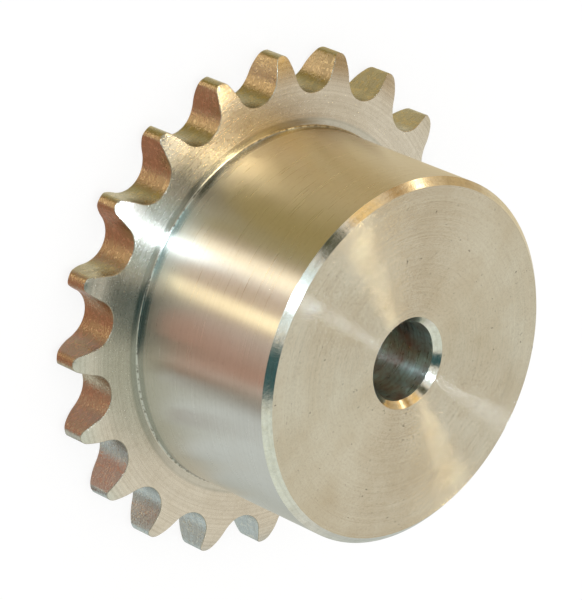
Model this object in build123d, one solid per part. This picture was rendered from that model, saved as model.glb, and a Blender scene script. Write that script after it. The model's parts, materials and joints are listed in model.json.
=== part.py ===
# Chain sprocket: a toothed plate with a round hub on one side, all one piece of steel.
# Millimetres. Z runs along the bore, z = 0 is the flat back of the plate, and the hub points up.
# The blank is turned, so it is one revolved half section. The teeth are what is left between
# the gaps, and each gap is the form that the chain's roller needs.
import math
import os

from build123d import *

# the roller chain that runs on the teeth
chain_pitch = 9.525
roller_diameter = 6.35
tooth_count = 20

# toothed plate
plate_width = 5.3
tooth_addendum = 1.7    # from the pitch circle out to the tips
relief_depth = 1.2      # what the turned curve takes off each side of the plate at the tips
relief_radius = 8.0     # of that curve, which starts flush with the side
tip_rounding = 0.85     # of the tips' corners; 1 is a full round with no flat left between

# tooth gap, after the usual rules for roller chain
seat_clearance = 0.06   # how much the seat's radius is over the roller's
seat_angle_limit = 140.0    # the seat's arc on a wheel with endless teeth, in degrees
seat_angle_share = 90.0     # taken off that, divided among the teeth
flank_factor = 0.12     # flank radius over roller diameter, for each tooth and two more

# hub
hub_diameter = 46.0
length_through_bore = 28.0
hub_chamfer = 0.9
root_fillet = 0.3       # in the corner between hub and plate

# plain bore, ready to be opened up to a shaft's size
bore_diameter = 10.0
bore_chamfer = 0.8

# how far a cut runs past the metal that it removes
overrun = 1.0

# circles of the teeth
pitch_radius = chain_pitch / math.sin(math.pi / tooth_count) / 2
root_radius = pitch_radius - roller_diameter / 2
tip_radius = pitch_radius + tooth_addendum
hub_radius = hub_diameter / 2
bore_radius = bore_diameter / 2

# centres of the arcs on the upper side of a gap that is centred on +X
seat_radius = roller_diameter / 2 + seat_clearance
flank_radius = flank_factor * roller_diameter * (tooth_count + 2)
half_seat = math.radians(seat_angle_limit - seat_angle_share / tooth_count) / 2
seat_centre = Vector(root_radius + seat_radius, 0)
seat_end_way = Vector(-math.cos(half_seat), math.sin(half_seat))
flank_centre = seat_centre + seat_end_way * (seat_radius + flank_radius)


def plate_section():
    # half section of the plate, x outwards from the axis and y up, narrowed towards the tips
    run = math.sqrt(relief_radius ** 2 - (relief_radius - relief_depth) ** 2)
    start = tip_radius - run
    with BuildSketch() as section:
        with BuildLine():
            Polyline((start, 0), (0, 0), (0, plate_width), (start, plate_width))
            TangentArc((start, plate_width), (tip_radius, plate_width - relief_depth), tangent=(1, 0))
            Line((tip_radius, plate_width - relief_depth), (tip_radius, relief_depth))
            TangentArc((start, 0), (tip_radius, relief_depth), tangent=(1, 0))
        make_face()
    return section.sketch


def hub_section():
    # half section of the hub from the back of the plate to the chamfered nose
    with BuildSketch() as section:
        with BuildLine():
            Polyline(
                (0, 0),
                (hub_radius, 0),
                (hub_radius, length_through_bore - hub_chamfer),
                (hub_radius - hub_chamfer, length_through_bore),
                (0, length_through_bore),
                close=True,
            )
        make_face()
    return section.sketch


def root_section():
    # what the turning tool's nose leaves in the corner: a square less a quarter circle
    corner = Pos(hub_radius, plate_width) * Rectangle(root_fillet, root_fillet, align=Align.MIN)
    return corner - Pos(hub_radius + root_fillet, plate_width + root_fillet) * Circle(root_fillet)


def bore_section():
    # half section of the bore with a chamfered mouth at both ends
    mouth = bore_radius + bore_chamfer
    with BuildSketch() as section:
        with BuildLine():
            Polyline(
                (0, -overrun),
                (mouth + overrun, -overrun),
                (bore_radius, bore_chamfer),
                (bore_radius, length_through_bore - bore_chamfer),
                (mouth + overrun, length_through_bore + overrun),
                (0, length_through_bore + overrun),
                close=True,
            )
        make_face()
    return section.sketch


def turned_blank():
    section = plate_section() + hub_section() + root_section() - bore_section()
    return revolve(Plane.XZ * section, axis=Axis.Z)


def tooth_gap():
    # a gap centred on +X: a round seat for the roller, then a flank on each side that curves
    # the other way, starting in line with the end of the seat
    seat_end = seat_centre + seat_end_way * seat_radius

    # the flank runs on until it is past the tips, where its circle crosses a wider one
    reach = tip_radius + overrun
    bend = (reach ** 2 - flank_centre.length ** 2 - flank_radius ** 2) / (
        2 * flank_centre.length * flank_radius)
    last = math.atan2(flank_centre.Y, flank_centre.X) - math.acos(bend)
    middle = (last - half_seat) / 2
    flank_points = [
        flank_centre + Vector(math.cos(angle), math.sin(angle)) * flank_radius
        for angle in (middle, last)
    ]

    with BuildSketch() as gap:
        with BuildLine():
            flank = ThreePointArc(seat_end, *flank_points)
            mirror(flank, about=Plane.XZ)
            ThreePointArc(seat_end, (root_radius, 0), (seat_end.X, -seat_end.Y))
            Line(flank_points[-1], (flank_points[-1].X, -flank_points[-1].Y))
        make_face()
    return gap.sketch


def full_tip_round():
    # radius of the arc on a tooth's middle line that touches both its flanks and the tip circle
    middle = Vector(math.cos(math.pi / tooth_count), math.sin(math.pi / tooth_count))
    inward = flank_centre.dot(middle)
    return (tip_radius ** 2 + flank_centre.length ** 2 - 2 * tip_radius * inward - flank_radius ** 2) / (
        2 * (tip_radius - inward - flank_radius))


def toothed_bar():
    # the teeth as they would be on a long bar, with the corners at their tips rounded
    bar = extrude(Circle(tip_radius) - PolarLocations(0, tooth_count) * tooth_gap(), length_through_bore)
    along = bar.edges().filter_by(Axis.Z)
    corners = along.filter_by(lambda edge: math.hypot(edge.center().X, edge.center().Y) > pitch_radius)
    return fillet(corners, tip_rounding * full_tip_round())


def sprocket():
    return turned_blank() & toothed_bar()


os.makedirs("parts", exist_ok=True)
wheel = sprocket()
export_step(wheel, "parts/sprocket.step")

print("pitch diameter %.2f, root %.2f, tips %.2f" % (2 * pitch_radius, 2 * root_radius, 2 * tip_radius))
print("volume %.0f cubic mm, valid %s" % (wheel.volume, wheel.is_valid))
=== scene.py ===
# Chain sprocket of bare turned steel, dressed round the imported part.
# Metres. Z is the bore, z = 0 is the flat back that the wheel stands on, a tooth gap lies on +X.
import bmesh
import bpy
import json
import math
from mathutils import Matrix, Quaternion, Vector

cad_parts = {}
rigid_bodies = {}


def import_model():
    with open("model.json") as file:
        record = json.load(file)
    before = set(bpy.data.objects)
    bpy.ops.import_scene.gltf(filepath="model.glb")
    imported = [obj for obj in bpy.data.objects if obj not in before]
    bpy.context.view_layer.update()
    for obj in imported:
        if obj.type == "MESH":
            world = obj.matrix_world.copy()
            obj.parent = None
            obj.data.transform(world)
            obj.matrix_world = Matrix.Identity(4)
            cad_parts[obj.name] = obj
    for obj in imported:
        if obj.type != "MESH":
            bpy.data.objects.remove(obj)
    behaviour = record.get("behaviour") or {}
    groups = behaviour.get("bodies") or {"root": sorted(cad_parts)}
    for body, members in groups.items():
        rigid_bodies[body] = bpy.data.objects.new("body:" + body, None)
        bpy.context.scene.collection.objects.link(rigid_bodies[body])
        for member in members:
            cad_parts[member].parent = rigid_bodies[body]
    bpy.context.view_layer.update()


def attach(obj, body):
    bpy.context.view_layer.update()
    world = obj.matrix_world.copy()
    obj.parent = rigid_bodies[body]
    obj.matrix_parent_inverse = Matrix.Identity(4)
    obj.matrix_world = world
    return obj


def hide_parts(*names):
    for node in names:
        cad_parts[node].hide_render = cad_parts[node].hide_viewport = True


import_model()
mm = 0.001
micron = 0.001 * mm


def linearColour(hexColour):
    # sRGB hex to the linear numbers that the shaders take
    values = [int(hexColour[i:i + 2], 16) / 255 for i in (1, 3, 5)]
    return [v / 12.92 if v <= 0.04045 else ((v + 0.055) / 1.055) ** 2.4 for v in values] + [1.0]


def addNode(tree, kind, inputs=None, **settings):
    # one node with its settings, its values, and its links where a value is a socket
    node = tree.nodes.new(kind)
    for name, value in settings.items():
        setattr(node, name, value)
    for name, value in (inputs or {}).items():
        if isinstance(value, bpy.types.NodeSocket):
            tree.links.new(value, node.inputs[name])
        else:
            node.inputs[name].default_value = value
    return node


# long lens from above the hub's nose, rolled so that the bore points down to the right
cameraView = {
    "azimuth": 123.24,
    "elevation": 41.82,
    "roll": 113.33,
    "distance": 522.6,          # millimetres, as is the point that it aims at
    "aim": (-0.77, 3.76, 10.01),
    "lens": 258.2,              # for Blender's sensor of 36 mm
}


def addCamera(view):
    around, above = math.radians(view["azimuth"]), math.radians(view["elevation"])
    back = Vector((
        math.cos(above) * math.cos(around), math.cos(above) * math.sin(around), math.sin(above)))
    camera = bpy.data.objects.new("camera", bpy.data.cameras.new("camera"))
    camera.data.lens = view["lens"]
    camera.location = (Vector(view["aim"]) + back * view["distance"]) * mm
    camera.rotation_mode = "QUATERNION"
    level = (-back).to_track_quat("-Z", "Y")
    camera.rotation_quaternion = level @ Quaternion((0, 0, 1), math.radians(view["roll"]))
    bpy.context.scene.collection.objects.link(camera)
    bpy.context.scene.camera = camera


addCamera(cameraView)
print("camera set")

# the wheel's form, in millimetres and degrees
wheel = {
    "teeth": 20,
    "chainPitch": 9.525,
    "rollerDiameter": 6.35,
    "plateWidth": 5.3,
    "tipRise": 1.699,           # from the pitch circle out to the tips
    "reliefDepth": 1.2,
    "reliefRadius": 8.0,
    "seatClearance": 0.06,
    "seatAngle": 135.5,
    "flankRadius": 16.764,
    "hubRadius": 23.0,
    "length": 28.0,
    "hubChamfer": 0.9,
    "cornerRadius": 0.3,
    "boreRadius": 5.0,
    "boreChamfer": 0.8,
    "tipRounding": 0.85,        # of the tips' corners; 1 is a full round
    "edgeBreak": 0.06,          # the small flat that a deburring brush leaves round the teeth
    "seam": 0.002,              # points nearer than this are one
    "sharpAngle": 20.0,         # an edge that turns more than this stays crisp
}
# how many faces there are along each stretch
steps = {
    "seat": 14, "flank": 10, "tipCorner": 8, "tipFlat": 2, "nose": 8, "side": 8, "corner": 5,
    "plate": 14, "gapWall": 3, "back": 8, "bore": 8,
}

# which finish each band of faces has
noseFace, hubSide, plateFace, gapWall, brokenEdge, toothEdge, boreWall = range(7)


def polar(angle, radius=1.0):
    return Vector((math.cos(angle), math.sin(angle))) * radius


def gapOutline(size):
    # one gap with half a tooth's tip on each side: points, and the way out of the metal at each
    pitchRadius = size["chainPitch"] / math.sin(math.pi / size["teeth"]) / 2
    rootRadius = pitchRadius - size["rollerDiameter"] / 2
    tipRadius = pitchRadius + size["tipRise"]
    seatRadius = size["rollerDiameter"] / 2 + size["seatClearance"]
    flankRadius = size["flankRadius"]
    half = math.radians(size["seatAngle"]) / 2
    seatCentre = Vector((rootRadius + seatRadius, 0))
    flankCentre = seatCentre + polar(math.pi - half, seatRadius + flankRadius)

    points = []
    for i in range(steps["seat"] + 1):
        out = polar(-half * i / steps["seat"])
        points.append((seatCentre - out * seatRadius, out))
    # the tip's corner is an arc that touches the flank's circle and the tips' circle from inside
    toMiddle = math.pi / size["teeth"]
    inward = flankCentre.dot(polar(toMiddle))
    fullRound = tipRadius ** 2 + flankCentre.length_squared - 2 * tipRadius * inward - flankRadius ** 2
    fullRound /= 2 * (tipRadius - inward - flankRadius)
    tipCorner = size["tipRounding"] * fullRound
    reach, hold = tipRadius - tipCorner, flankRadius - tipCorner
    away = flankCentre.length
    spread = math.acos((away ** 2 + reach ** 2 - hold ** 2) / (2 * away * reach))
    tipStart = math.atan2(flankCentre.y, flankCentre.x) - spread
    cornerCentre = polar(tipStart, reach)
    flankEnd = math.atan2(cornerCentre.y - flankCentre.y, cornerCentre.x - flankCentre.x)
    arcs = (
        (flankCentre, flankRadius, -half, flankEnd, steps["flank"]),
        (cornerCentre, tipCorner, flankEnd, tipStart, steps["tipCorner"]),
        (Vector((0, 0)), tipRadius, tipStart, toMiddle, steps["tipFlat"]),
    )
    for centre, radius, start, end, count in arcs:
        for i in range(1, count + 1):
            out = polar(start + (end - start) * i / count)
            points.append((centre + out * radius, out))
    mirrored = [(Vector((p.x, -p.y)), Vector((out.x, -out.y))) for p, out in points[:0:-1]]
    return mirrored + points, tipRadius


def wheelWedge(size):
    # one tooth's share of the whole wheel, open along its two radial sides
    outline, tipRadius = gapOutline(size)
    angles = [math.atan2(p.y, p.x) for p, out in outline]
    width, top, hubRadius = size["plateWidth"], size["length"], size["hubRadius"]
    reliefRadius, cornerRadius = size["reliefRadius"], size["cornerRadius"]
    reliefStart = tipRadius - math.sqrt(
        reliefRadius ** 2 - (reliefRadius - size["reliefDepth"]) ** 2)

    def relief(radius):
        past = max(0.0, radius - reliefStart)
        return reliefRadius - math.sqrt(reliefRadius ** 2 - past ** 2)

    rings = []      # each is its points and the finish of the band that leads to it

    def turned(radius, height, finish):
        rings.append(([(*polar(a, radius), height) for a in angles], finish))

    def rim(share, front, finish):
        # from the corner's end, share 0, out to the broken edge of the teeth, share 1
        ring = []
        for (p, out), a in zip(outline, angles):
            at = polar(a, hubRadius + cornerRadius).lerp(p - out * size["edgeBreak"], share)
            low = relief(at.length)
            ring.append((at.x, at.y, width - low if front else low))
        rings.append((ring, finish))

    def wall(share, finish):
        ring = []
        for p, out in outline:
            low = relief((p - out * size["edgeBreak"]).length) + size["edgeBreak"]
            ring.append((p.x, p.y, low + (width - 2 * low) * share))
        rings.append((ring, finish))

    # once round the section: down from the bore's upper mouth over the nose, the hub's side, the
    # corner, the plate and its teeth, then back under the plate and up the bore
    mouth = size["boreRadius"] + size["boreChamfer"]
    turned(size["boreRadius"], top - size["boreChamfer"], boreWall)
    turned(mouth, top, brokenEdge)
    for i in range(1, steps["nose"] + 1):
        turned(mouth + (hubRadius - size["hubChamfer"] - mouth) * i / steps["nose"], top, noseFace)
    shoulder = top - size["hubChamfer"]
    turned(hubRadius, shoulder, brokenEdge)
    foot = width + cornerRadius
    for i in range(1, steps["side"] + 1):
        turned(hubRadius, shoulder + (foot - shoulder) * i / steps["side"], hubSide)
    for i in range(1, steps["corner"] + 1):
        turn = math.radians(90 * i / steps["corner"])
        turned(hubRadius + cornerRadius * (1 - math.cos(turn)), foot - cornerRadius * math.sin(turn),
               hubSide)
    for i in range(1, steps["plate"] + 1):
        rim(i / steps["plate"], True, plateFace)
    wall(1, toothEdge)
    for i in reversed(range(steps["gapWall"])):
        wall(i / steps["gapWall"], gapWall)
    for i in reversed(range(steps["plate"] + 1)):
        rim(i / steps["plate"], False, toothEdge if i == steps["plate"] else plateFace)
    inner = hubRadius + cornerRadius
    for i in range(1, steps["back"] + 1):
        turned(inner + (mouth - inner) * i / steps["back"], 0, plateFace)
    turned(size["boreRadius"], size["boreChamfer"], brokenEdge)
    for i in range(1, steps["bore"]):
        climb = (top - 2 * size["boreChamfer"]) * i / steps["bore"]
        turned(size["boreRadius"], size["boreChamfer"] + climb, boreWall)

    mesh = bmesh.new()
    finishLayer = mesh.faces.layers.int.new("finish")
    grid = [[mesh.verts.new(Vector(p) * mm) for p in ring] for ring, finish in rings]
    for i, row in enumerate(grid):
        following = (i + 1) % len(grid)
        for j in range(len(row) - 1):
            face = mesh.faces.new((row[j], grid[following][j], grid[following][j + 1], row[j + 1]))
            face[finishLayer] = rings[following][1]
    bmesh.ops.recalc_face_normals(mesh, faces=mesh.faces)
    return mesh


def sprocketTree(materials):
    # repeats a wedge round the bore, closes its seams and gives each band its finish
    tree = bpy.data.node_groups.new("repeatRoundBore", "GeometryNodeTree")
    for name, way, kind in (("Wedge", "INPUT", "Geometry"), ("Teeth", "INPUT", "Int"),
                            ("Seam", "INPUT", "Float"), ("Wheel", "OUTPUT", "Geometry")):
        tree.interface.new_socket(name, in_out=way, socket_type="NodeSocket" + kind)
    given = addNode(tree, "NodeGroupInput").outputs
    turn = addNode(tree, "ShaderNodeMath", {0: 2 * math.pi, 1: given["Teeth"]}, operation="DIVIDE")
    place = addNode(tree, "GeometryNodeInputIndex")
    angle = addNode(tree, "ShaderNodeMath", {
        0: turn.outputs[0], 1: place.outputs[0]}, operation="MULTIPLY")
    spin = addNode(tree, "ShaderNodeCombineXYZ", {"Z": angle.outputs[0]})
    points = addNode(tree, "GeometryNodeMeshLine", {"Count": given["Teeth"], "Offset": (0, 0, 0)})
    copies = addNode(tree, "GeometryNodeInstanceOnPoints", {
        "Points": points.outputs[0], "Instance": given["Wedge"], "Rotation": spin.outputs[0]})
    real = addNode(tree, "GeometryNodeRealizeInstances", {"Geometry": copies.outputs[0]})
    shape = addNode(tree, "GeometryNodeMergeByDistance", {
        "Geometry": real.outputs[0], "Distance": given["Seam"]}).outputs[0]
    finish = addNode(tree, "GeometryNodeInputNamedAttribute", {"Name": "finish"}, data_type="INT")
    for number, material in materials.items():
        chosen = addNode(tree, "FunctionNodeCompare", {
            2: finish.outputs[0], 3: number}, data_type="INT", operation="EQUAL")
        shape = addNode(tree, "GeometryNodeSetMaterial", {
            "Geometry": shape, "Selection": chosen.outputs[0], "Material": material}).outputs[0]
    addNode(tree, "NodeGroupOutput", {"Wheel": shape})
    return tree


# Bare free-cutting steel. The lay is the way the tool's marks run: rings round the bore on a flat
# face, or turns round a cylinder. Feed is how far the tool moves in a turn. Depth is that of its
# streaks, dimple that of the mottling, and tilt how far the finest grooves lean the surface.
# Sizes are in millimetres, depths in micrometres.
steel = "#DAD6CC"
finishes = {
    # fine rings, which draw each light out into a ray through the bore
    noseFace: {
        "name": "facedSteelNose", "lay": "rings", "colour": "#CDCABD",
        "stainAndReflection": "#B2A488", "stainAndReflectionSize": 12.0, "stainAndReflectionShare": 0.6,
        "feed": 0.25, "lines": 0.04, "rings": 0.04, "depth": 0.2, "tilt": 2.2,
        "roughness": 0.2, "grain": 0.08, "anisotropy": 0.99,
        "mottle": 0.35, "mottleShare": 0.14, "dimple": 5.0, "pits": 0.8,
        "glintSize": 0.28, "glint": 0.22, "glintTint": 0.0, "paintedReflection": 0.0,
    },
    # a satin side, whose reflections smear along the bore into upright bands
    hubSide: {
        "name": "turnedSteelHub", "lay": "turns", "colour": steel,
        "stainAndReflection": "#C9C0AE", "stainAndReflectionSize": 9.0, "stainAndReflectionShare": 0.25,
        "feed": 0.2, "lines": 0.02, "rings": 0.05, "depth": 0.08, "tilt": 0.0,
        "roughness": 0.28, "grain": 0.03, "anisotropy": 0.97,
        "mottle": 0.6, "mottleShare": 0.06, "dimple": 0.4, "pits": 0.1,
        "glintSize": 0.3, "glint": 0.0, "glintTint": 0.0, "paintedReflection": 0.0,
    },
    # coarser rings, with darker ones where the tool dwelt
    plateFace: {
        "name": "facedSteelPlate", "lay": "rings", "colour": steel,
        "stainAndReflection": "#B9AE98", "stainAndReflectionSize": 4.0, "stainAndReflectionShare": 0.25,
        "feed": 0.3, "lines": 0.04, "rings": 0.2, "depth": 0.3, "tilt": 0.0,
        "roughness": 0.28, "grain": 0.06, "anisotropy": 0.97,
        "mottle": 0.5, "mottleShare": 0.12, "dimple": 0.8, "pits": 0.25,
        "glintSize": 0.3, "glint": 0.15, "glintTint": 0.0, "paintedReflection": 0.0,
    },
    # duller walls that glitter in spots, some with a painted glint, and carry a painted brown
    # reflection on one side
    gapWall: {
        "name": "hobbedSteelGaps", "lay": "turns", "colour": "#C8CDC8",
        "stainAndReflection": "#94806A", "stainAndReflectionSize": 2.5, "stainAndReflectionShare": 0.2,
        "feed": 0.6, "lines": 0.1, "rings": 0.1, "depth": 3.0, "tilt": 0.0,
        "roughness": 0.3, "grain": 0.3, "anisotropy": 0.2,
        "mottle": 0.26, "mottleShare": 0.12, "dimple": 66.0, "pits": 0.1,
        "glintSize": 0.5, "glint": 1.0, "glintTint": 0.25, "paintedReflection": 1.0,
    },
    # the smoothest metal, so the chamfers flash white with near black beside it
    brokenEdge: {
        "name": "chamferedSteelEdges", "lay": "turns", "colour": "#E6E3DA",
        "stainAndReflection": "#A49C8B", "stainAndReflectionSize": 1.5, "stainAndReflectionShare": 0.3,
        "feed": 0.3, "lines": 0.1, "rings": 0.1, "depth": 1.0, "tilt": 0.0,
        "roughness": 0.17, "grain": 0.3, "anisotropy": 0.3,
        "mottle": 0.4, "mottleShare": 0.15, "dimple": 8.0, "pits": 0.0,
        "glintSize": 0.5, "glint": 0.3, "glintTint": 0.1, "paintedReflection": 0.0,
    },
    # a thin dull line that takes the hardness off the teeth
    toothEdge: {
        "name": "brushedSteelToothEdges", "lay": "turns", "colour": "#B4AC9C",
        "stainAndReflection": "#8A8070", "stainAndReflectionSize": 1.0, "stainAndReflectionShare": 0.6,
        "feed": 0.3, "lines": 0.1, "rings": 0.1, "depth": 1.0, "tilt": 0.0,
        "roughness": 0.48, "grain": 0.3, "anisotropy": 0.2,
        "mottle": 0.3, "mottleShare": 0.3, "dimple": 12.0, "pits": 0.0,
        "glintSize": 0.3, "glint": 0.3, "glintTint": 0.3, "paintedReflection": 0.0,
    },
    # a dark satin hole with one pale line down its far side; its teal colour and reddish-brown clouds
    # are painted reflection and shade of the hole's inside
    boreWall: {
        "name": "drilledSteelBore", "lay": "turns", "colour": "#CCE2DC",
        "stainAndReflection": "#A86856", "stainAndReflectionSize": 4.0, "stainAndReflectionShare": 0.9,
        "feed": 0.4, "lines": 0.2, "rings": 0.3, "depth": 1.0, "tilt": 0.8,
        "roughness": 0.3, "grain": 0.2, "anisotropy": 0.99,
        "mottle": 0.5, "mottleShare": 0.2, "dimple": 2.0, "pits": 0.0,
        "glintSize": 0.3, "glint": 0.0, "glintTint": 0.0, "paintedReflection": 0.0,
    },
}
# what all the finishes share, in millimetres. A pair is where a noise starts to show and is full.
marks = {
    "streaks": 2.5,             # tool streaks to a radian round the bore
    "streakLevels": (0.45, 0.7),
    "streakTint": "#7C7466",
    "ringSpacing": 0.45,        # between darker rings
    "ringLevels": (0.45, 0.62),
    "ringTint": "#8A8272",
    "stainAndReflectionLevels": (0.4, 0.72),
    "mottleLevels": (0.5, 0.7),
    "mottleTint": "#857B6A",
    "pitSize": 0.6,
    "pitLevels": (0.67, 0.75),
    "pitTint": "#4C443A",
    "smearAndGlintLevels": (0.54, 0.62),
    # a painted glint: the pale gold that the smeared patches are tinted
    "smearAndGlintTint": "#EEDFBE",
    "smearPolish": 0.65,        # taken off the roughness where the tool smeared the metal smooth
    "grooveSpacing": 0.02,      # of the finest grooves, for tilt
    "grainLevels": (0.3, 0.7),  # of the streaks, where the metal is smoothest and roughest
    "highlightTurn": 0.25,      # in turns, so that highlights are drawn out across the lay
}
# painted reflection: a brown tint on the teeth of one side of the wheel, where they face one way,
# standing in for the brown surroundings that they would mirror
paintedBrownReflection = {
    "colour": "#B6A282",
    "side": (-0.26, 0.97, 0.0),
    "sideLevels": (0.2, 0.6),
    "faces": (-0.87, 0.5, 0.0),
    "faceLevels": (0.45, 0.8),
}
# the corner between hub and plate: a smoother band that the tool left, darkened and tinted teal by
# painted shade, with flakes of darker painted shade along its middle
rootCorner = {
    "finishes": ("turnedSteelHub", "facedSteelPlate"),
    "band": (1.3, 0.975),       # from here on, and fully, in millimetres from the corner
    # where the flakes of painted shade start and are full, in millimetres from the corner
    "flakeShadeLine": (0.22, 0.154),
    "polish": 0.35,             # taken off the roughness
    # painted shade in the corner, tinted like the dark teal that it mirrors
    "tint": "#728486",
    "paintedShadeShare": 0.26,
    "flakeShade": "#8A867A",
    "flakeShadeSize": 0.35,
    "flakeShadeLevels": (0.5, 0.58),
}


def paintedBrownReflectionShare(tree, heading, normal):
    # full on one side of the wheel, and there only on the walls that face one way: where the brown
    # reflection is painted
    share = 1.0
    for way, against, levels in ((heading, paintedBrownReflection["side"], paintedBrownReflection["sideLevels"]),
                                 (normal, paintedBrownReflection["faces"], paintedBrownReflection["faceLevels"])):
        lean = addNode(tree, "ShaderNodeVectorMath", {
            0: way, 1: against}, operation="DOT_PRODUCT").outputs["Value"]
        near = addNode(tree, "ShaderNodeMapRange", {
            "Value": lean, "From Min": levels[0], "From Max": levels[1]}).outputs[0]
        share = addNode(tree, "ShaderNodeMath", {
            0: near, 1: share}, operation="MULTIPLY").outputs[0]
    return share


def flakeShadeLineShare(tree, away, place):
    # full on flakes of painted shade along the middle of the corner between hub and plate, which break
    # its bright line into dashes
    middle = addNode(tree, "ShaderNodeMapRange", {
        "Value": away, "From Min": rootCorner["flakeShadeLine"][0] * mm,
        "From Max": rootCorner["flakeShadeLine"][1] * mm}).outputs[0]
    flakes = addNode(tree, "ShaderNodeTexNoise", {
        "Vector": place, "Scale": 1 / (rootCorner["flakeShadeSize"] * mm), "Detail": 2.0,
        "Roughness": 0.55}).outputs["Fac"]
    chips = addNode(tree, "ShaderNodeMapRange", {
        "Value": flakes, "From Min": rootCorner["flakeShadeLevels"][0],
        "From Max": rootCorner["flakeShadeLevels"][1]}).outputs[0]
    return addNode(tree, "ShaderNodeMath", {0: middle, 1: chips}, operation="MULTIPLY").outputs[0]


def grooveLean(tree, facing, across, slant, tilt):
    # grooves too fine to see one by one, so they lean the surface across the lay and aren't cut
    # into it, which draws light into thin rays
    grooves = addNode(tree, "ShaderNodeTexNoise", {
        "W": across, "Scale": 1 / (marks["grooveSpacing"] * mm), "Detail": 2.0, "Roughness": 0.7},
        noise_dimensions="1D").outputs["Fac"]
    slope = addNode(tree, "ShaderNodeMapRange", {
        "Value": grooves, "To Min": -tilt / 2, "To Max": tilt / 2}).outputs[0]
    lean = addNode(tree, "ShaderNodeVectorMath", {
        0: slant, "Scale": slope}, operation="SCALE").outputs[0]
    leant = addNode(tree, "ShaderNodeVectorMath", {0: facing, 1: lean}, operation="ADD").outputs[0]
    return addNode(tree, "ShaderNodeVectorMath", {0: leant}, operation="NORMALIZE").outputs[0]


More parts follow.
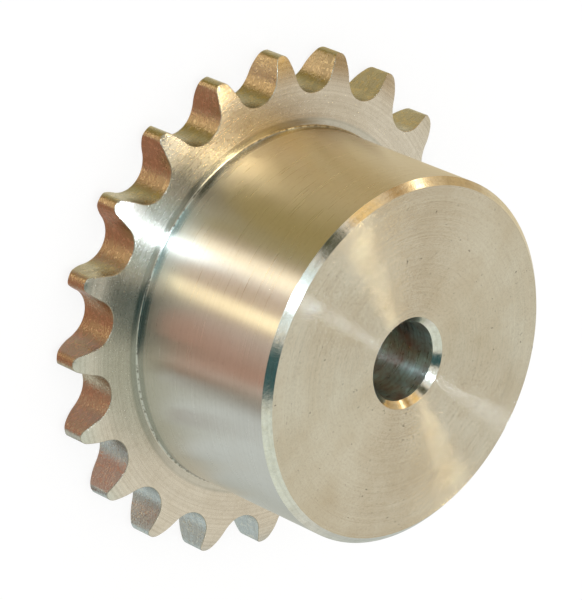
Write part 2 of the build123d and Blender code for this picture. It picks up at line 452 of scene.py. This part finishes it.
def steelMaterial(look):
    material = bpy.data.materials.new(look["name"])
    material.use_nodes = True
    tree = material.node_tree
    tree.nodes.clear()
    coordinates = addNode(tree, "ShaderNodeTexCoord").outputs
    xyz = addNode(tree, "ShaderNodeSeparateXYZ", {0: coordinates["Object"]}).outputs
    flat = addNode(tree, "ShaderNodeCombineXYZ", {"X": xyz["X"], "Y": xyz["Y"]}).outputs[0]
    radius = addNode(tree, "ShaderNodeVectorMath", {0: flat}, operation="LENGTH").outputs["Value"]
    heading = addNode(tree, "ShaderNodeVectorMath", {0: flat}, operation="NORMALIZE").outputs[0]
    across, slant = (radius, heading) if look["lay"] == "rings" else (xyz["Z"], (0, 0, 1))

    # the tool's streaks are finest across the lay and drawn out round the bore
    around = addNode(tree, "ShaderNodeVectorMath", {
        0: heading, "Scale": marks["streaks"]}, operation="SCALE").outputs[0]
    turns = addNode(tree, "ShaderNodeMath", {
        0: across, 1: 1 / (look["feed"] * mm)}, operation="MULTIPLY").outputs[0]
    lift = addNode(tree, "ShaderNodeCombineXYZ", {"Z": turns}).outputs[0]
    drawn = addNode(tree, "ShaderNodeVectorMath", {0: around, 1: lift}, operation="ADD").outputs[0]
    streaks = addNode(tree, "ShaderNodeTexNoise", {
        "Vector": drawn, "Scale": 1.0, "Detail": 4.0, "Roughness": 0.6}).outputs["Fac"]
    rings = addNode(tree, "ShaderNodeTexNoise", {
        "W": across, "Scale": 1 / (marks["ringSpacing"] * mm), "Detail": 3.0, "Roughness": 0.7},
        noise_dimensions="1D").outputs["Fac"]
    sizes = (
        # size, detail, roughness
        ("stainAndReflection", look["stainAndReflectionSize"], 6.0, 0.62),
        ("mottle", look["mottle"], 3.0, 0.55),
        ("pit", marks["pitSize"], 3.0, 0.7),
        ("smearAndGlint", look["glintSize"], 2.0, 0.55),
    )
    clouds = {name: addNode(tree, "ShaderNodeTexNoise", {
        "Vector": coordinates["Object"], "Scale": 1 / (size * mm), "Detail": detail,
        "Roughness": roughness}).outputs["Fac"] for name, size, detail, roughness in sizes}

    # each tint lies over those before it: what it follows, its two levels, its share, its colour
    tints = [
        # stains, and on the bore painted reflection and shade
        (clouds["stainAndReflection"], marks["stainAndReflectionLevels"], look["stainAndReflectionShare"], look["stainAndReflection"]),
        (streaks, marks["streakLevels"], look["lines"], marks["streakTint"]),
        (rings, marks["ringLevels"], look["rings"], marks["ringTint"]),
        (clouds["mottle"], marks["mottleLevels"], look["mottleShare"], marks["mottleTint"]),
        (clouds["pit"], marks["pitLevels"], look["pits"], marks["pitTint"]),
        # a painted glint on the smeared patches
        (clouds["smearAndGlint"], marks["smearAndGlintLevels"], look["glintTint"], marks["smearAndGlintTint"]),
    ]
    polishes = [(clouds["smearAndGlint"], marks["smearAndGlintLevels"], marks["smearPolish"] * look["glint"])]
    if look["paintedReflection"]:
        # the painted brown reflection, under the tool's marks, straight over the stains
        paintedReflectionMask = paintedBrownReflectionShare(tree, heading, coordinates["Normal"])
        tints.insert(1, (paintedReflectionMask, (0, 1), look["paintedReflection"], paintedBrownReflection["colour"]))
    if look["name"] in rootCorner["finishes"]:
        spot = addNode(tree, "ShaderNodeCombineXYZ", {"X": radius, "Y": xyz["Z"]}).outputs[0]
        meeting = (wheel["hubRadius"] * mm, wheel["plateWidth"] * mm, 0)
        away = addNode(tree, "ShaderNodeVectorMath", {
            0: spot, 1: meeting}, operation="DISTANCE").outputs["Value"]
        band = [distance * mm for distance in rootCorner["band"]]
        # painted shade: over the corner band, and in darker flakes along its middle
        flakeShadeLine = flakeShadeLineShare(tree, away, coordinates["Object"])
        tints.append((away, band, rootCorner["paintedShadeShare"], rootCorner["tint"]))
        tints.append((flakeShadeLine, (0, 1), 1.0, rootCorner["flakeShade"]))
        polishes.append((away, band, rootCorner["polish"]))

    colour = linearColour(look["colour"])
    for value, levels, share, tint in tints:
        if not share:
            continue
        mask = addNode(tree, "ShaderNodeMapRange", {
            "Value": value, "From Min": levels[0], "From Max": levels[1], "To Max": share}).outputs[0]
        colour = addNode(tree, "ShaderNodeMix", {
            "Factor": mask, 6: colour, 7: linearColour(tint)}, data_type="RGBA").outputs[2]
    dull = addNode(tree, "ShaderNodeMapRange", {
        "Value": streaks, "From Min": marks["grainLevels"][0], "From Max": marks["grainLevels"][1],
        "To Min": look["roughness"] * (1 - look["grain"]),
        "To Max": look["roughness"] * (1 + look["grain"])}, clamp=False).outputs[0]
    for value, levels, polish in polishes:
        keep = addNode(tree, "ShaderNodeMapRange", {
            "Value": value, "From Min": levels[0], "From Max": levels[1],
            "To Min": 1.0, "To Max": 1.0 - polish}).outputs[0]
        dull = addNode(tree, "ShaderNodeMath", {0: dull, 1: keep}, operation="MULTIPLY").outputs[0]

    facing = addNode(tree, "ShaderNodeNewGeometry").outputs["Normal"]
    if look["tilt"]:
        facing = grooveLean(tree, facing, across, slant, look["tilt"])
    fine = addNode(tree, "ShaderNodeBump", {
        "Height": streaks, "Distance": look["depth"] * micron, "Normal": facing}).outputs[0]
    # a full pit is half a dimple deep
    hollow = addNode(tree, "ShaderNodeMapRange", {
        "Value": clouds["pit"], "From Min": marks["pitLevels"][0], "From Max": marks["pitLevels"][1],
        "To Max": -look["pits"] / 2}).outputs[0]
    uneven = addNode(tree, "ShaderNodeMath", {0: hollow, 1: clouds["mottle"]}).outputs[0]
    bump = addNode(tree, "ShaderNodeBump", {
        "Height": uneven, "Distance": look["dimple"] * micron, "Normal": fine}).outputs[0]
    tangent = addNode(tree, "ShaderNodeTangent", direction_type="RADIAL", axis="Z").outputs[0]
    shader = addNode(tree, "ShaderNodeBsdfPrincipled", {
        "Base Color": colour, "Metallic": 1.0, "Roughness": dull, "Normal": bump,
        "Anisotropic": look["anisotropy"], "Anisotropic Rotation": marks["highlightTurn"],
        "Tangent": tangent})
    addNode(tree, "ShaderNodeOutputMaterial", {"Surface": shader.outputs[0]})
    return material


def buildSprocket(size, materials):
    wedge = wheelWedge(size)
    mesh = bpy.data.meshes.new("wedge")
    wedge.to_mesh(mesh)
    wedge.free()
    source = bpy.data.objects.new("wedge", mesh)
    bpy.context.scene.collection.objects.link(source)
    tree = sprocketTree(materials)
    modifier = source.modifiers.new("repeatRoundBore", "NODES")
    modifier.node_group = tree
    values = {"Teeth": size["teeth"], "Seam": size["seam"] * mm}
    for socket in tree.interface.items_tree:
        if socket.name in values:
            modifier[socket.identifier] = values[socket.name]
    evaluated = source.evaluated_get(bpy.context.evaluated_depsgraph_get())
    plain = bpy.data.meshes.new_from_object(evaluated)
    bpy.data.objects.remove(source)
    plain.name = "sprocketBody"

    shape = bmesh.new()
    shape.from_mesh(plain)
    for face in shape.faces:
        face.smooth = True
    sharp = math.radians(size["sharpAngle"])
    for edge in shape.edges:
        edge.smooth = edge.is_manifold and edge.calc_face_angle() < sharp
    openEdges = sum(not edge.is_manifold for edge in shape.edges)
    shape.to_mesh(plain)
    shape.free()
    body = bpy.data.objects.new("sprocketBody", plain)
    bpy.context.scene.collection.objects.link(body)
    print("sprocket body:", len(plain.polygons), "faces,", openEdges, "open edges")
    return body


materials = {number: steelMaterial(look) for number, look in finishes.items()}
print("steel finishes made:", len(materials))
body = buildSprocket(wheel, materials)
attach(body, "root")
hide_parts("sprocket")

# floor and light, in metres and watts
studio = {
    "floor": "#FBFAF8",
    "floorSize": 6.0,
    "floorDrop": 0.00002,       # clear of the wheel's back
    "floorGlow": 0.84,          # how far the floor's shadow is lifted towards white
    "white": 1.0,
    "lampPlace": (-0.25, 0.35, 0.8),
    "lampSize": 0.9,
    "lampPower": 2.0,
}
# The boards that the tooth gaps mirror, in millimetres. They lie under the floor, which the
# metal's rays pass through, so that only the metal sees them.
boards = {
    "wideBoard": {
        "colour": "#C29484",
        "height": -20.0,
        "corners": ((-5, 46), (-20, 44), (-27, 41), (-60, 42), (-110, 43), (-110, 38), (-45, 2),
                    (-28, -5), (-5, -5)),
    },
    "nearBoard": {
        "colour": "#80604F",
        "height": -5.0,
        "corners": ((-34, -3), (-40, -5), (-40, -11), (-34, -11)),
    },
    "creamBoard": {
        "colour": "#D2BA86",
        "height": -4.0,
        "corners": ((26, 28), (32, 28), (38, 24), (38, 8), (29, 8), (26, 14)),
    },
}
# soft cards and lamps that the metal mirrors, each over those before it, all angles in degrees
cards = {
    # azimuth, half width and its blur, lowest and highest elevation and their blur, colour, strength
    "greyCloth": (275, 48, 14, -90, 5, 20, "#CAD0CC", 1.0),
    "paleCloth": (214, 32, 9, -90, 5, 20, "#D8E0E2", 1.08),
    "creamWall": (350, 38, 16, -90, 5, 20, "#EADBB8", 1.0),
    "goldWall": (35, 18, 10, -90, 5, 20, "#C6AE7A", 1.0),
    "oliveWall": (78, 24, 10, -90, 5, 20, "#AA9658", 1.0),
    "tanScreen": (121, 20, 6, -90, 0, 15, "#E4C8AA", 1.0),
    "firstStrip": (108, 4, 3.5, -90, 0, 15, "#FFF0D2", 2.0),
    "secondStrip": (134, 3.5, 2.5, -90, 0, 15, "#FFF0C8", 2.4),
    "brownScreen": (161, 17, 4, -20, 5, 15, "#EEC4A0", 1.0),
    "darkEdge": (182, 4, 3, -90, 0, 15, "#7A6854", 1.0),
    "greyCorner": (217, 34, 8, 12, 75, 10, "#DEE6DC", 1.1),
    "brownCorner": (345, 17, 8, 20, 58, 8, "#AC8440", 1.0),
    "goldLedge": (352, 14, 8, -4, 18, 8, "#CCB080", 1.0),
    "goldGlow": (12, 8, 4, 16, 60, 6, "#F0C26E", 1.4),
    "goldVeil": (8, 11, 6, 48, 68, 6, "#F6D69E", 3.0),
    "brownGap": (27, 5, 4, 20, 52, 6, "#B89050", 1.0),
    "goldPeak": (45, 11, 4, 28, 50, 8, "#F0CA86", 1.15),
    "edgeSpark": (15, 1.5, 1.5, 17, 23, 3, "#FFF2D0", 4.5),
    "darkOlive": (73, 9, 4, 10, 75, 8, "#50523C", 1.0),
    "blueShoulder": (114, 21, 7, 8, 46, 8, "#A2CCDA", 1.8),
    "darkCorner": (162, 17, 6, 0, 85, 6, "#30585A", 1.0),
    "whiteLamp": (113, 3.2, 2, 34, 60, 6, "#DCECFF", 15.0),
    "whiteSpark": (107, 2.5, 1.5, 64, 80, 4, "#D4E4FF", 84.0),
    "goldLamp": (26, 2.5, 1.5, 55, 68, 4, "#FFEABE", 56.0),
}
# the room behind the cards, below and above a soft horizon at these heights of the ray
room = {"below": "#E4E6E2", "above": "#FAF3E4", "horizon": (-0.25, 0.35)}


def buildWorld(cards, room):
    world = bpy.data.worlds.new("studio")
    bpy.context.scene.world = world
    world.use_nodes = True
    tree = world.node_tree
    tree.nodes.clear()
    way = addNode(tree, "ShaderNodeTexCoord").outputs["Generated"]
    xyz = addNode(tree, "ShaderNodeSeparateXYZ", {0: way}).outputs
    flat = addNode(tree, "ShaderNodeCombineXYZ", {"X": xyz["X"], "Y": xyz["Y"]}).outputs[0]
    heading = addNode(tree, "ShaderNodeVectorMath", {0: flat}, operation="NORMALIZE").outputs[0]
    rise = addNode(tree, "ShaderNodeMath", {0: xyz["Z"]}, operation="ARCSINE").outputs[0]
    split = addNode(tree, "ShaderNodeMapRange", {
        "Value": xyz["Z"], "From Min": room["horizon"][0], "From Max": room["horizon"][1]}).outputs[0]
    colour = addNode(tree, "ShaderNodeMix", {
        "Factor": split, 6: linearColour(room["below"]), 7: linearColour(room["above"])},
        data_type="RGBA").outputs[2]
    for name, (azimuth, half, blur, low, high, soft, tint, strength) in cards.items():
        aim = math.radians(azimuth)
        outer, inner = math.radians(half + blur), math.radians(max(0, half - blur))
        near = addNode(tree, "ShaderNodeVectorMath", {
            0: heading, 1: (math.cos(aim), math.sin(aim), 0)}, operation="DOT_PRODUCT").outputs["Value"]
        edges = (
            (rise, math.radians(low - soft), math.radians(low + soft)),
            (rise, math.radians(high + soft), math.radians(high - soft)),
            (near, math.cos(outer), math.cos(inner)),
        )
        mask = 1.0
        for value, start, full in edges:
            edge = addNode(tree, "ShaderNodeMapRange", {
                "Value": value, "From Min": start, "From Max": full},
                interpolation_type="SMOOTHSTEP").outputs[0]
            mask = addNode(tree, "ShaderNodeMath", {
                0: edge, 1: mask}, operation="MULTIPLY", label=name).outputs[0]
        shine = [channel * strength for channel in linearColour(tint)[:3]] + [1.0]
        colour = addNode(tree, "ShaderNodeMix", {
            "Factor": mask, 6: colour, 7: shine}, data_type="RGBA").outputs[2]
    mirrored = addNode(tree, "ShaderNodeBackground", {"Color": colour})
    plain = addNode(tree, "ShaderNodeBackground", {
        "Color": (1, 1, 1, 1), "Strength": studio["white"]})
    # the metal sees the cards, and the camera and the floor see plain white
    path = addNode(tree, "ShaderNodeLightPath").outputs
    shown = addNode(tree, "ShaderNodeMixShader", {
        0: path["Is Glossy Ray"], 1: plain.outputs[0], 2: mirrored.outputs[0]})
    addNode(tree, "ShaderNodeOutputWorld", {"Surface": shown.outputs[0]})


def buildFloor(settings):
    half = settings["floorSize"] / 2
    mesh = bpy.data.meshes.new("floor")
    mesh.from_pydata([(-half, -half, 0), (half, -half, 0), (half, half, 0), (-half, half, 0)], [],
                     [(0, 1, 2, 3)])
    floor = bpy.data.objects.new("floor", mesh)
    floor.location.z = -settings["floorDrop"]
    material = bpy.data.materials.new("paleFloor")
    material.use_nodes = True
    tree = material.node_tree
    tree.nodes.clear()
    pale = addNode(tree, "ShaderNodeBsdfDiffuse", {"Color": linearColour(settings["floor"])})
    glow = addNode(tree, "ShaderNodeEmission", {
        "Color": (1, 1, 1, 1), "Strength": settings["white"]})
    seen = addNode(tree, "ShaderNodeLightPath").outputs["Is Camera Ray"]
    share = addNode(tree, "ShaderNodeMath", {
        0: seen, 1: settings["floorGlow"]}, operation="MULTIPLY").outputs[0]
    lifted = addNode(tree, "ShaderNodeMixShader", {
        0: share, 1: pale.outputs[0], 2: glow.outputs[0]})
    addNode(tree, "ShaderNodeOutputMaterial", {"Surface": lifted.outputs[0]})
    mesh.materials.append(material)
    bpy.context.scene.collection.objects.link(floor)
    floor.visible_glossy = False


def buildBoard(name, settings):
    mesh = bpy.data.meshes.new(name)
    corners = [(x * mm, y * mm, settings["height"] * mm) for x, y in settings["corners"]]
    mesh.from_pydata(corners, [], [range(len(corners))])
    panel = bpy.data.objects.new(name, mesh)
    material = bpy.data.materials.new(name)
    material.use_nodes = True
    tree = material.node_tree
    tree.nodes.clear()
    shader = addNode(tree, "ShaderNodeEmission", {"Color": linearColour(settings["colour"])})
    addNode(tree, "ShaderNodeOutputMaterial", {"Surface": shader.outputs[0]})
    mesh.materials.append(material)
    bpy.context.scene.collection.objects.link(panel)
    panel.visible_camera = False
    panel.visible_diffuse = False
    panel.visible_shadow = False


def addSoftLamp(settings):
    lamp = bpy.data.lights.new("softLamp", "AREA")
    lamp.size = settings["lampSize"]
    lamp.energy = settings["lampPower"]
    lampObject = bpy.data.objects.new("softLamp", lamp)
    lampObject.location = settings["lampPlace"]
    lampObject.rotation_mode = "QUATERNION"
    lampObject.rotation_quaternion = (-Vector(settings["lampPlace"])).to_track_quat("-Z", "Y")
    lampObject.visible_glossy = False
    bpy.context.scene.collection.objects.link(lampObject)


buildWorld(cards, room)
buildFloor(studio)
for name, settings in boards.items():
    buildBoard(name, settings)
addSoftLamp(studio)
bpy.context.scene.view_settings.view_transform = "Standard"
print("studio built")
